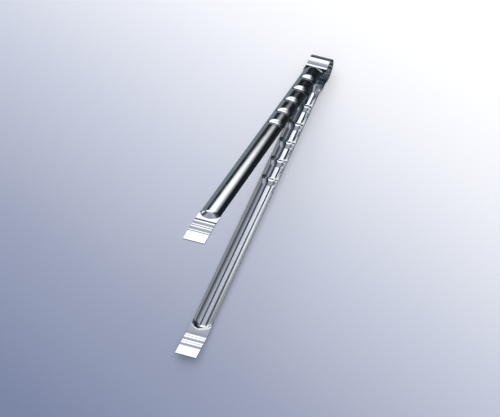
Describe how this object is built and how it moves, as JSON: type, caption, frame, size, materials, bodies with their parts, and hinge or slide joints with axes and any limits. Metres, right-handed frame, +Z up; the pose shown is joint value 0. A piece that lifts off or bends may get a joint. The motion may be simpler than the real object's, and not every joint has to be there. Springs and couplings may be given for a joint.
{
  "type": "crucible tongs",
  "caption": "One-piece spring tongs bent from a steel strip: springy bow, half-round ribbed arms and flat ridged jaws.",
  "frame": {"origin": "on the surface the tongs lie on, under the middle of the tongs' box", "axes": "+Z up, +Y from the jaws towards the bow along the lower arm, +X across the strip"},
  "size_m": [0.021, 0.4066, 0.1431],
  "materials": {
    "polished_steel": "polished"
  },
  "bodies": {
    "lower_arm": {"lower_arm": "polished_steel"},
    "bow_lower_waist": {"bow_lower_waist": "polished_steel"},
    "bow_lower_shoulder": {"bow_lower_shoulder": "polished_steel"},
    "bow_crown": {"bow_crown": "polished_steel"},
    "bow_upper_shoulder": {"bow_upper_shoulder": "polished_steel"},
    "bow_upper_waist": {"bow_upper_waist": "polished_steel"},
    "upper_arm": {"upper_arm": "polished_steel"}
  },
  "joints": [
    {"name": "flex_lower_arm", "type": "hinge", "parent": "lower_arm", "child": "bow_lower_waist", "pos_m": [0, 0.17854, 0.00527], "axis": [1, 0, 0], "range_deg": [0, 3.28], "stiffness_Nm_per_rad": 29.8},
    {"name": "flex_lower_waist", "type": "hinge", "parent": "bow_lower_waist", "child": "bow_lower_shoulder", "pos_m": [0, 0.18921, 0.00177], "axis": [1, 0, 0], "range_deg": [0, 3.28], "stiffness_Nm_per_rad": 29.8},
    {"name": "flex_lower_shoulder", "type": "hinge", "parent": "bow_lower_shoulder", "child": "bow_crown", "pos_m": [0, 0.19991, 0.00479], "axis": [1, 0, 0], "range_deg": [0, 3.28], "stiffness_Nm_per_rad": 29.8},
    {"name": "flex_upper_shoulder", "type": "hinge", "parent": "bow_crown", "child": "bow_upper_shoulder", "pos_m": [0, 0.20163, 0.01505], "axis": [1, 0, 0], "range_deg": [0, 3.28], "stiffness_Nm_per_rad": 29.8},
    {"name": "flex_upper_waist", "type": "hinge", "parent": "bow_upper_shoulder", "child": "bow_upper_waist", "pos_m": [0, 0.19249, 0.02138], "axis": [1, 0, 0], "range_deg": [0, 3.28], "stiffness_Nm_per_rad": 29.8},
    {"name": "flex_upper_arm", "type": "hinge", "parent": "bow_upper_waist", "child": "upper_arm", "pos_m": [0, 0.18127, 0.02155], "axis": [1, 0, 0], "range_deg": [0, 3.28], "stiffness_Nm_per_rad": 29.8}
  ]
}
